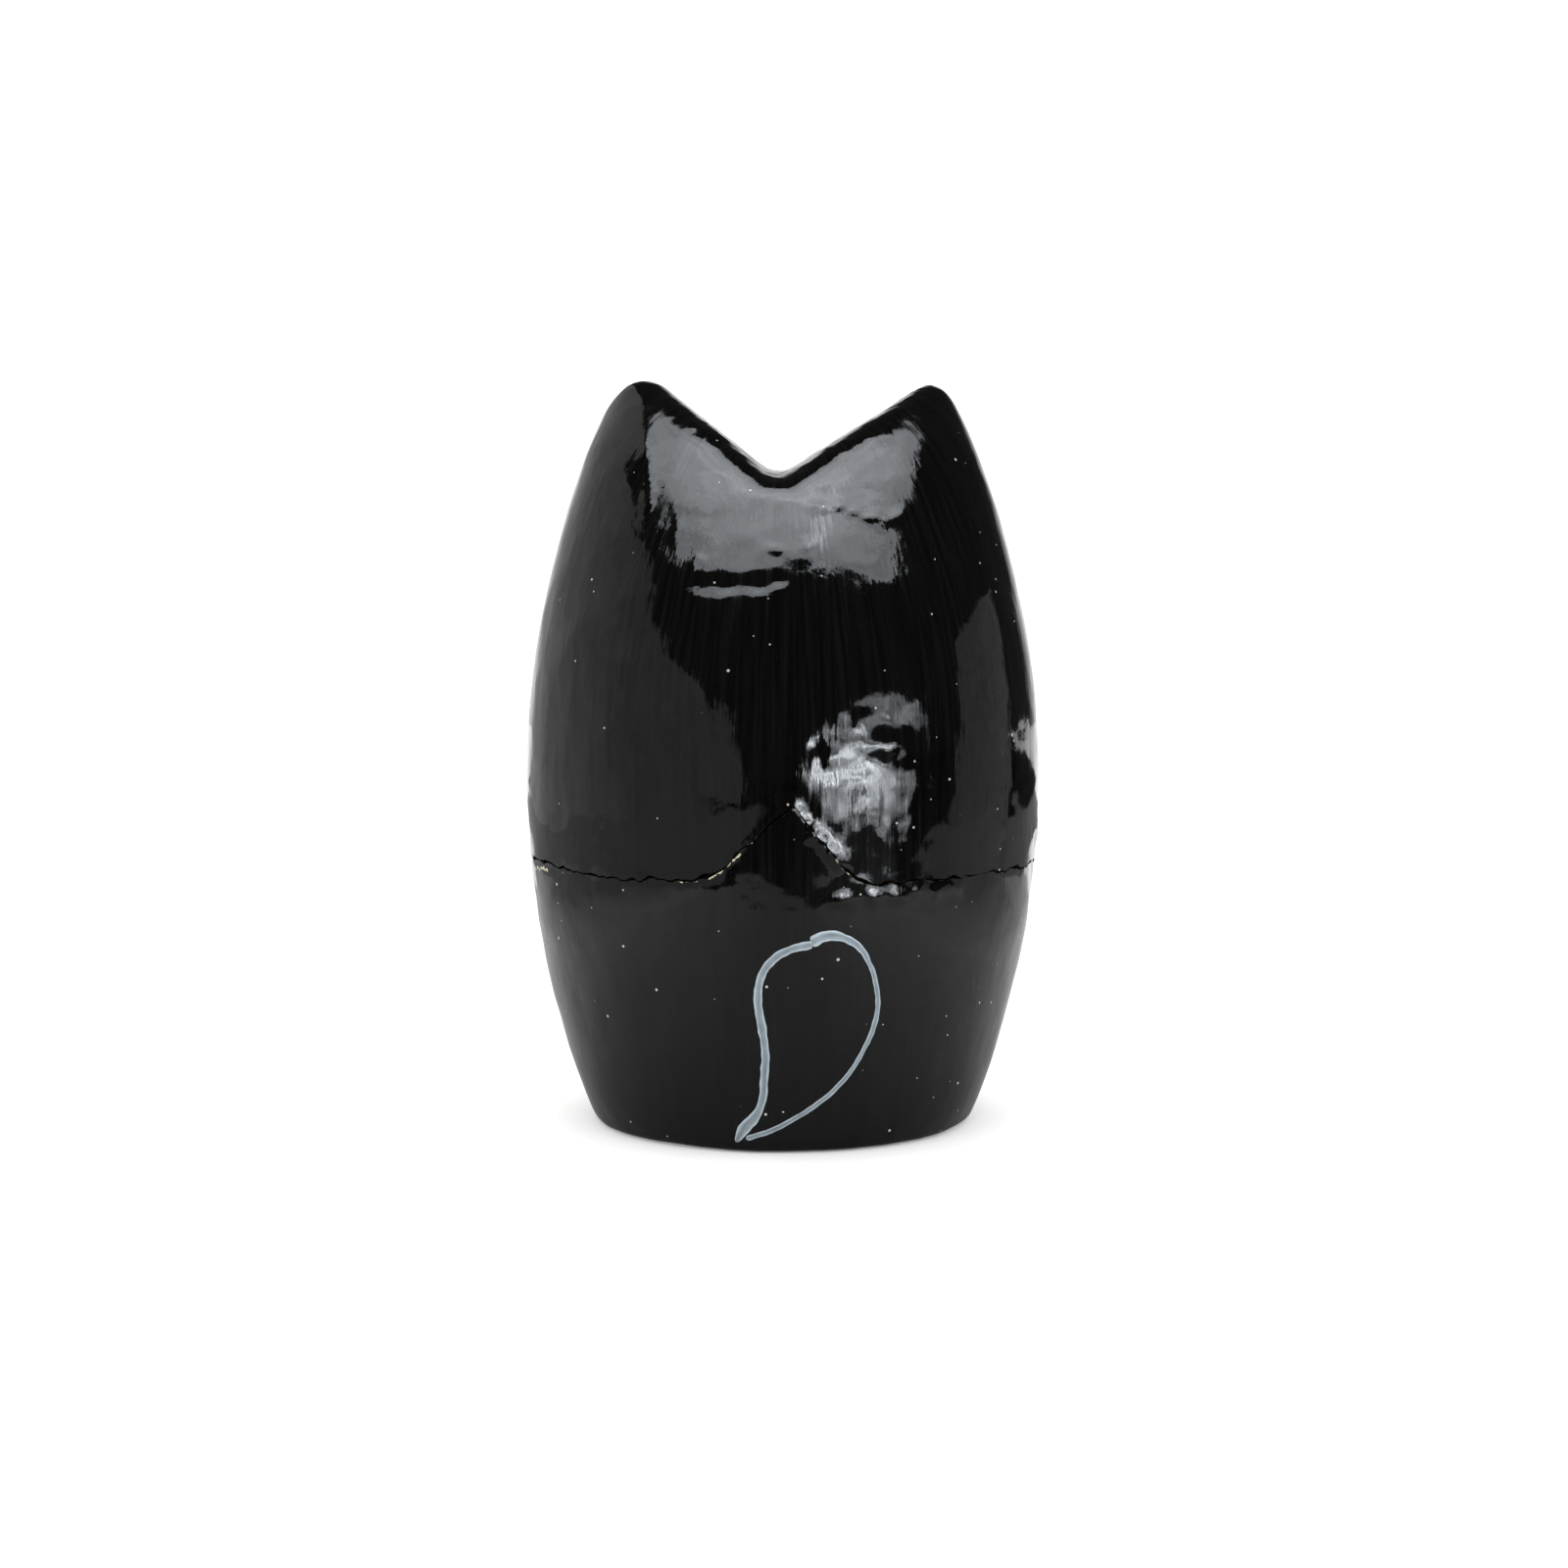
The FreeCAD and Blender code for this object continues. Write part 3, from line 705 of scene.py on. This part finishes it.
def finishShell(shell, body, node):
    # sorts the faces into outside, inside and cut rim, and smooths what isn't an edge
    mesh = shell.data
    tree = BVHTree.FromPolygons([v.co for v in mesh.vertices], [f.vertices for f in mesh.polygons])
    lowest, highest = 1.5 * mm, 66.5 * mm
    for face in mesh.polygons:
        if face.material_index == 2 or not lowest < face.center.z < highest:
            continue
        outwards = Vector((face.center.x, face.center.y, 0)).normalized()
        beyond = tree.ray_cast(face.center + outwards * mm, outwards)
        if beyond[0] is not None:
            face.material_index = 1
    activate(shell)
    bpy.ops.object.shade_smooth_by_angle(angle=math.radians(38))
    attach(shell, body)
    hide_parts(node)


print("shells")
partingTool = makePartingTool()
bodyShell = roughShell("body_shell", "lacqueredBody", parting["overhang"])
headShell = roughShell("head_shell", "lacqueredHead", -parting["overhang"])
for shell in (bodyShell, headShell):
    lumpy(shell)
    for material in shellMaterials:
        shell.data.materials.append(material)
print("parting")
useModifier(bodyShell, "BOOLEAN", operation="INTERSECT", solver="EXACT", object=partingTool)
raiseTool(partingTool)
useModifier(headShell, "BOOLEAN", operation="DIFFERENCE", solver="EXACT", object=partingTool)
bpy.data.objects.remove(partingTool)
settle(bodyShell)
settle(headShell)
finishShell(bodyShell, "body", "body_shell")
finishShell(headShell, "head", "head_shell")
print("triangles", [sum(len(f.vertices) - 2 for f in s.data.polygons) for s in (bodyShell, headShell)])


collar = {
    "voxel": 0.34 * mm,
    "lap": math.radians(-62),           # where the strip's end lies, seen from above
    "lapLength": math.radians(50),
    "lapHeight": 0.45 * mm,
    "waviness": ((9 * mm, 0.22 * mm), (1.6 * mm, 0.05 * mm)),
}


def makeCollar():
    # a strip of millboard, rolled once round and glued over its own end
    ring = bpy.data.objects.new("rolledCollar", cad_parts["locating_collar"].data.copy())
    bpy.context.scene.collection.objects.link(ring)
    ring.data.name = ring.name
    ring.data.materials.clear()
    activate(ring)
    bpy.ops.object.mode_set(mode="EDIT")
    bpy.ops.mesh.select_all(action="SELECT")
    bpy.ops.mesh.remove_doubles(threshold=0.001 * mm)
    bpy.ops.object.mode_set(mode="OBJECT")
    useModifier(ring, "REMESH", mode="VOXEL", voxel_size=collar["voxel"], use_smooth_shade=True)
    useModifier(ring, "SMOOTH", factor=0.5, iterations=4)

    def lapWeight(vertex):
        # thickens inwards along the lap, then stops short at the strip's end
        outwards = Vector((vertex.co.x, vertex.co.y, 0)).normalized()
        if vertex.normal.dot(outwards) > -0.2:
            return 0.0
        behind = (collar["lap"] - math.atan2(vertex.co.y, vertex.co.x)) % (2 * math.pi)
        return 1.0 - smoothStep(0.0, collar["lapLength"], behind) if behind < collar["lapLength"] else 0.0

    group = weigh(ring, "lap", lapWeight)
    useModifier(ring, "DISPLACE", strength=collar["lapHeight"], mid_level=0.0, vertex_group=group)
    for i, (size, height) in enumerate(collar["waviness"]):
        useModifier(ring, "DISPLACE", texture=cloudTexture(f"board{i}", size), strength=height,
                    mid_level=0.55, texture_coords="LOCAL", direction="NORMAL")
    ring.data.materials.append(rolledBoard)
    activate(ring)
    bpy.ops.object.shade_smooth_by_angle(angle=math.radians(40))
    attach(ring, "body")
    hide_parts("locating_collar")


print("collar")
makeCollar()


brush = {
    "step": 0.16 * mm,
    "across": 8,
    "wobble": 0.10,         # unevenness of a line's edge, as a share of its width
    "film": 0.05 * mm,
    "ridge": 0.07 * mm,     # paint that the brush pushed to both edges of a line
}


def roundEnds(share, length, width):
    # a round start and a round end
    near = min(share, 1 - share) * length / (width / 2)
    return math.sqrt(max(0.0, 1 - (1 - min(1.0, near)) ** 2))


def linePressure(share, length, width):
    swell = 0.9 + 0.16 * noise.noise(Vector((share * length / (3 * mm), width / mm, 4.1)))
    return swell * roundEnds(share, length, width)


def tailPressure(share, length, width):
    # the brush lands flat and leaves a leaf-shaped mark, then runs on its tip
    leaf = 0.5 * math.exp(-((share - 0.09) / 0.05) ** 2) - 0.35 * (1 - smoothStep(0.0, 0.06, share))
    return linePressure(share, length, width) + leaf * roundEnds(share, length, width)


def tipPressure(share, length, width):
    # the brush starts full and runs lighter further on
    start = 0.85 * (1 - smoothStep(0.04, 0.24, share))
    return (0.85 + start) * linePressure(share, length, width)


def ovalPressure(share, length, width):
    return math.sqrt(max(0.0, 1 - (2 * share - 1) ** 2))


def wedgePressure(share, length, width):
    # full width at the top, a blunt point at the bottom
    return (1.0 - 0.72 * share) * roundEnds(share, length, 0.3 * width)


def brushLine(points, width, pressure, side, shell):
    # a flat strip, pulled along its path, as wide as the brush was pressed
    path = bpy.data.curves.new("path", "CURVE")
    spline = path.splines.new("BEZIER")
    spline.bezier_points.add(len(points) - 1)
    for point, (x, z) in zip(spline.bezier_points, points):
        point.co = (x * mm, z * mm, 0)
        point.handle_left_type = point.handle_right_type = "AUTO"
    guide = bpy.data.objects.new("guide", path)
    bpy.context.scene.collection.objects.link(guide)
    bpy.context.view_layer.update()
    length = spline.calc_length()
    bpy.ops.mesh.primitive_grid_add(x_subdivisions=max(8, round(length / brush["step"])),
                                    y_subdivisions=brush["across"], size=1)
    strip = bpy.context.active_object
    width *= mm

    def ridge(vertex):
        out = abs(2 * vertex.co.y)
        grain = 0.6 + 0.8 * noise.noise(Vector((vertex.co.x * length / (1.4 * mm), vertex.co.y * 9, 1.7)))
        return grain * (smoothStep(0.35, 0.75, out) - smoothStep(0.8, 1.0, out))

    group = weigh(strip, "ridge", ridge)
    for vertex in strip.data.vertices:
        share = vertex.co.x + 0.5
        along = share * length
        edge = noise.noise(Vector((along / (0.7 * mm), 3.0 * vertex.co.y, points[0][0])))
        vertex.co.x = along
        vertex.co.y *= width * pressure(share, length, width) * (1 + 2 * brush["wobble"] * edge)
    useModifier(strip, "CURVE", object=guide, deform_axis="POS_X")
    bpy.data.objects.remove(guide)
    strip.data.transform(Matrix.Translation((0, side * 45 * mm, 0)) @ Matrix.Rotation(math.pi / 2, 4, "X"))
    if side > 0:
        strip.data.flip_normals()
    useModifier(strip, "SHRINKWRAP", target=shell, wrap_method="PROJECT", use_project_y=True,
                use_negative_direction=side > 0, use_positive_direction=side < 0,
                offset=brush["film"])
    useModifier(strip, "DISPLACE", strength=brush["ridge"], mid_level=0.0, vertex_group=group)
    useModifier(strip, "SOLIDIFY", thickness=2 * brush["film"], offset=-1.0)
    return strip


def paintMark(node, name, body, side, lines):
    # all lines of one mark become one piece
    shell = headShell if body == "head" else bodyShell
    strips = [brushLine(points, width, pressure, side, shell) for points, width, pressure in lines]
    activate(*strips)
    if len(strips) > 1:
        bpy.ops.object.join()
    mark = named(name)
    mark.data.materials.clear()
    mark.data.materials.append(linePaint)
    bpy.ops.object.mode_set(mode="EDIT")
    bpy.ops.mesh.select_all(action="SELECT")
    bpy.ops.mesh.remove_doubles(threshold=0.002 * mm)
    bpy.ops.mesh.normals_make_consistent(inside=False)
    bpy.ops.object.mode_set(mode="OBJECT")
    bpy.ops.object.shade_smooth_by_angle(angle=math.radians(50))
    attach(mark, body)
    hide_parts(node)


# paths in millimetres, as x and z
tailPaths = (
    ((4.7, 1.2), (3.7, 2.9), (2.7, 4.1), (2.0, 5.9), (1.85, 8.0), (1.7, 10.8), (1.95, 13.0), (2.3, 15.0),
     (2.4, 16.8), (2.1, 18.6), (1.2, 20.1), (-0.5, 21.3), (-3.0, 21.9)),
    ((-2.7, 22.1), (-4.4, 22.7), (-6.2, 22.4), (-7.4, 21.6), (-8.5, 19.9), (-9.3, 17.1), (-9.4, 15.3),
     (-9.0, 13.2), (-8.1, 11.1), (-7.0, 9.1), (-5.1, 6.8), (-3.6, 5.5), (-1.3, 3.9), (1.0, 2.6),
     (3.7, 1.6)),
)


def pawPaths(middle):
    arch = [(middle + 3.3 * math.cos(t * math.pi / 8), 1.4 + 7.8 * math.sin(t * math.pi / 8) ** 0.8)
            for t in range(9)]
    toes = [[(middle + 1.19 * offset, 1.4), (middle + 1.19 * offset, 4.0)] for offset in (-1, 1)]
    return [arch] + toes


def facePaths(side):
    # the left and the right half of the face; side is 1 on the cat's left
    eye = [(4.4, 53.33), (6.71, 56.47), (9.65, 57.59), (12.8, 55.85), (10.7, 53.1), (7.55, 52.1),
           (4.6, 53.2)]
    pupil = [(8.6, 56.81), (8.6, 52.77)]
    whiskers = [[(10.6, z), (15.1, z + rise * 5.4), (19.6, z + rise * 9)]
                for z, rise in ((48.47, 0.2), (46.58, 0.02), (44.69, -0.16))]
    middle = 13.68 if side > 0 else 15.65
    middle += 0.6 * side
    ear = [(middle - 5.61, 67.93), (middle - 2.64, 71.56), (middle, 74.2), (middle + 1.85, 70.9),
           (middle + 2.77, 67.6)]
    return {name: [[(side * x, z) for x, z in path] for path in paths]
            for name, paths in (("eye", [eye]), ("pupil", [pupil]), ("whiskers", whiskers), ("ear", [ear]))}


print("paint")
paintMark("tail_outline", "paintedTail", "body", 1,
          [(tailPaths[0], 0.88, tailPressure), (tailPaths[1], 0.64, tipPressure)])
for side, word in ((1, "left"), (-1, "right")):
    title = word.capitalize()
    paths = facePaths(side)
    paintMark(f"{word}_paw_outline", f"painted{title}Paw", "body", -1,
              [(path, 0.8, linePressure) for path in pawPaths(side * 4.6)])
    paintMark(f"{word}_eye_outline", f"painted{title}Eye", "head", -1,
              [(path, 0.8, linePressure) for path in paths["eye"]])
    paintMark(f"{word}_pupil", f"painted{title}Pupil", "head", -1,
              [(path, 1.4, ovalPressure) for path in paths["pupil"]])
    paintMark(f"{word}_whiskers", f"painted{title}Whiskers", "head", -1,
              [(path, 0.55, linePressure) for path in paths["whiskers"]])
    paintMark(f"{word}_inner_ear", f"painted{title}Ear", "head", -1,
              [(path, 0.8, linePressure) for path in paths["ear"]])
paintMark("nose", "paintedNose", "head", -1, [([(0, 48.15), (0, 46.25)], 3.0, wedgePressure)])
curl = [(0.0, 44.67), (1.15, 43.66), (2.59, 43.8), (3.6, 44.67)]
paintMark("mouth", "paintedMouth", "head", -1,
          [([(0, 46.5), (0, 44.67)], 0.8, linePressure), (curl, 0.8, linePressure),
           ([(-x, z) for x, z in curl], 0.8, linePressure)])


floorGlow = 0.2     # the paper is lit from below too, as on a light table

camera = {"distance": 224.6 * mm, "height": 48.2 * mm, "aim": (-0.16 * mm, 0, 36.15 * mm), "lens": 47.1}


def makeCamera():
    bpy.ops.object.camera_add(location=(0, camera["distance"], camera["height"]))
    eye = bpy.context.active_object
    eye.data.lens = camera["lens"]
    eye.data.sensor_width = 36
    eye.data.clip_start = 0.01
    direction = Vector(camera["aim"]) - eye.location
    eye.rotation_euler = direction.to_track_quat("-Z", "Y").to_euler()
    bpy.context.scene.camera = eye


def makeFloor():
    bpy.ops.mesh.primitive_plane_add(size=6)
    floor = named("floor")
    material, tree, shader = newMaterial("whitePaperSweep", Roughness=0.7, IOR=1.4)
    shader.inputs["Base Color"].default_value = linear("#fafaf9")
    shader.inputs["Emission Color"].default_value = linear("#ffffff")
    shader.inputs["Emission Strength"].default_value = floorGlow
    floor.data.materials.append(material)


studio = {
    # name: kind, centre, the way it faces, width and height in millimetres; radiance in the
    # middle and at the edge, or for a wall at the front and at the rear
    "overheadSoftbox": ("square", (-10, 134, 478), (0, -0.2, -1), (480, 322), 8.6, 3.8),
    "softboxTube": ("square", (-45, 205, 452), (0, -0.2, -1), (20, 110), 13.0, 9.0),
    "leftWall": ("wall", (300, 187, 153), (-1, 0, 0), (1425, 306), 0.44, 0.62),
    "leftMiddleWall": ("wall", (300, -152, 341), (-1, 0, 0), (730, 70), 0.44, 0.62),
    "leftUpperWall": ("wall", (300, -255, 480), (-1, 0, 0), (530, 208), 0.44, 0.62),
    "rightPanel": ("square", (-300, -20, 85), (1, 0, 0), (200, 170), 0.4, 0.4),
    "windowLight": ("round", (-110, 184, 50), (0.67, -0.74, 0), (176, 116), 19.0, 1.0),
    "windowEdge": ("round", (-56, 190, 52), (0.3, -0.95, 0), (30, 50), 26.0, 4.0),
}


folding = {
    # kind: stretch, scale and the least and greatest share of a panel's light
    "square": ((1, 1, 1), 11.0, 0.8, 1.2),
    "wall": ((12, 1, 1), 4.0, 0.8, 1.2),
    "round": ((1, 1, 1), 5.5, 0.06, 1.8),
}


def makePanels():
    # glowing panels that show in the lacquer only; the surroundings light everything else
    for name, (kind, centre, facing, size, middle, edge) in studio.items():
        place = [c * mm for c in centre]
        if kind == "round":
            bpy.ops.mesh.primitive_circle_add(vertices=48, radius=0.5, fill_type="NGON", location=place)
        else:
            bpy.ops.mesh.primitive_plane_add(size=1, location=place)
        panel = named(name)
        panel.scale = (size[0] * mm, size[1] * mm, 1)
        panel.rotation_euler = Vector(facing).to_track_quat("-Z", "Y").to_euler()
        material = bpy.data.materials.new(name)
        material.use_nodes = True
        tree = material.node_tree
        tree.nodes.clear()
        output = addNode(tree, "ShaderNodeOutputMaterial")
        place = addNode(tree, "ShaderNodeTexCoord").outputs["Object"]
        radius = addNode(tree, "ShaderNodeVectorMath", {0: place}, operation="LENGTH").outputs["Value"]
        if kind == "wall":
            world = addNode(tree, "ShaderNodeNewGeometry").outputs["Position"]
            depth = addNode(tree, "ShaderNodeSeparateXYZ", {0: world}).outputs["Y"]
            fall = addNode(tree, "ShaderNodeMapRange",
                           {"Value": depth, "From Min": 180 * mm, "From Max": 10 * mm, "To Min": middle,
                            "To Max": edge})
        else:
            fall = addNode(tree, "ShaderNodeMapRange",
                           {"Value": radius, "From Max": 0.5, "To Min": middle, "To Max": edge})
        # cloth folds on the softboxes, and upright streaks of light and shade on the walls
        stretch, scale, low, high = folding[kind]
        folded = addNode(tree, "ShaderNodeMapping", {"Vector": place, "Scale": stretch})
        folds = addNode(tree, "ShaderNodeTexNoise",
                        {"Vector": folded.outputs[0], "Scale": scale, "Detail": 3.0})
        uneven = addNode(tree, "ShaderNodeMapRange",
                         {"Value": folds.outputs["Fac"], "From Min": 0.34, "From Max": 0.66,
                          "To Min": low, "To Max": high})
        strength = calculate(tree, "MULTIPLY", fall.outputs[0], uneven.outputs[0])
        tint = linear("#f3f9ff" if middle > 1 else "#ffffff")
        glow = addNode(tree, "ShaderNodeEmission", {"Color": tint, "Strength": strength})
        tree.links.new(glow.outputs[0], output.inputs[0])
        panel.data.materials.append(material)
        panel.visible_camera = False
        panel.visible_diffuse = False
        panel.visible_shadow = False


def makeFill():
    # one big soft light overhead, so that the floor stays white under the figure
    bpy.ops.object.light_add(type="AREA", location=(0, 0, 0.9))
    lamp = bpy.context.active_object
    lamp.name = "fillLight"
    lamp.data.size = 1.4
    lamp.data.energy = 1.2
    lamp.visible_camera = False
    lamp.visible_glossy = False


beside = {"colour": "#c8c8c8", "middle": 75 * mm, "reach": 65 * mm}    # paler strips of the front card

cards = {
    # name: colour, centre, width and depth in millimetres
    "frontCard": ("#949494", (0, 20), (600, 180)),
    "middleCard": ("#bababa", (0, -115), (320, 90)),
    "leftCard": ("#929292", (180, 280), (240, 340)),
    "leftRearCard": ("#929292", (230, -285), (140, 430)),
    "rightRearCard": ("#7c7c7c", (-230, -285), (140, 430)),
    "roomCard": ("#101010", (-120, 280), (360, 340)),
    "leftRoomCard": ("#101010", (1800, 0), (3000, 1400)),
    "rightRoomCard": ("#101010", (-1800, 0), (3000, 1400)),
    "farRoomCard": ("#101010", (0, 1950), (6600, 3000)),
}


def makeCards():
    # cards on the floor, which only the lacquer sees: they keep its lower half dark
    for name, (colour, (x, y), (width, depth)) in cards.items():
        bpy.ops.mesh.primitive_plane_add(size=1, location=(x * mm, y * mm, 0.3 * mm))
        card = named(name)
        card.scale = (width * mm, depth * mm, 1)
        material, tree, shader = newMaterial(name, Roughness=0.9, IOR=1.3)
        shader.inputs["Base Color"].default_value = linear(colour)
        if name == "frontCard":
            # palest beside the figure
            world = addNode(tree, "ShaderNodeNewGeometry").outputs["Position"]
            aside = addNode(tree, "ShaderNodeSeparateXYZ", {0: world}).outputs["X"]
            side = calculate(tree, "ABSOLUTE", aside)
            away = calculate(tree, "ABSOLUTE", calculate(tree, "SUBTRACT", side, beside["middle"]))
            share = addNode(tree, "ShaderNodeMapRange",
                            {"Value": away, "From Min": beside["reach"], "From Max": 0.0})
            mixed = addNode(tree, "ShaderNodeMix",
                            {0: share.outputs[0], 6: linear(colour), 7: linear(beside["colour"])},
                            data_type="RGBA")
            tree.links.new(mixed.outputs[2], shader.inputs["Base Color"])
        card.data.materials.append(material)
        card.visible_camera = False
        card.visible_diffuse = False
        card.visible_shadow = False


def makeSurroundings():
    # white all round for the eye and for soft light; in the lacquer, white behind the figure and
    # a dark room in front of it
    world = bpy.data.worlds.new("whiteStudio")
    bpy.context.scene.world = world
    world.use_nodes = True
    tree = world.node_tree
    background = tree.nodes["Background"]
    direction = addNode(tree, "ShaderNodeTexCoord").outputs["Generated"]
    split = addNode(tree, "ShaderNodeSeparateXYZ", {0: direction})
    room = addNode(tree, "ShaderNodeMapRange",
                   {"Value": split.outputs["Y"], "From Min": -0.93, "From Max": -0.8,
                    "To Min": 0.95, "To Max": 0.04})
    mirrored = addNode(tree, "ShaderNodeLightPath").outputs["Is Glossy Ray"]
    level = addNode(tree, "ShaderNodeMix", {0: mirrored, 2: 1.4, 3: room.outputs[0]}, data_type="FLOAT")
    tree.links.new(level.outputs[0], background.inputs["Strength"])
    background.inputs["Color"].default_value = linear("#ffffff")


print("studio")
makeCamera()
makeFloor()
makeCards()
makePanels()
makeFill()
makeSurroundings()
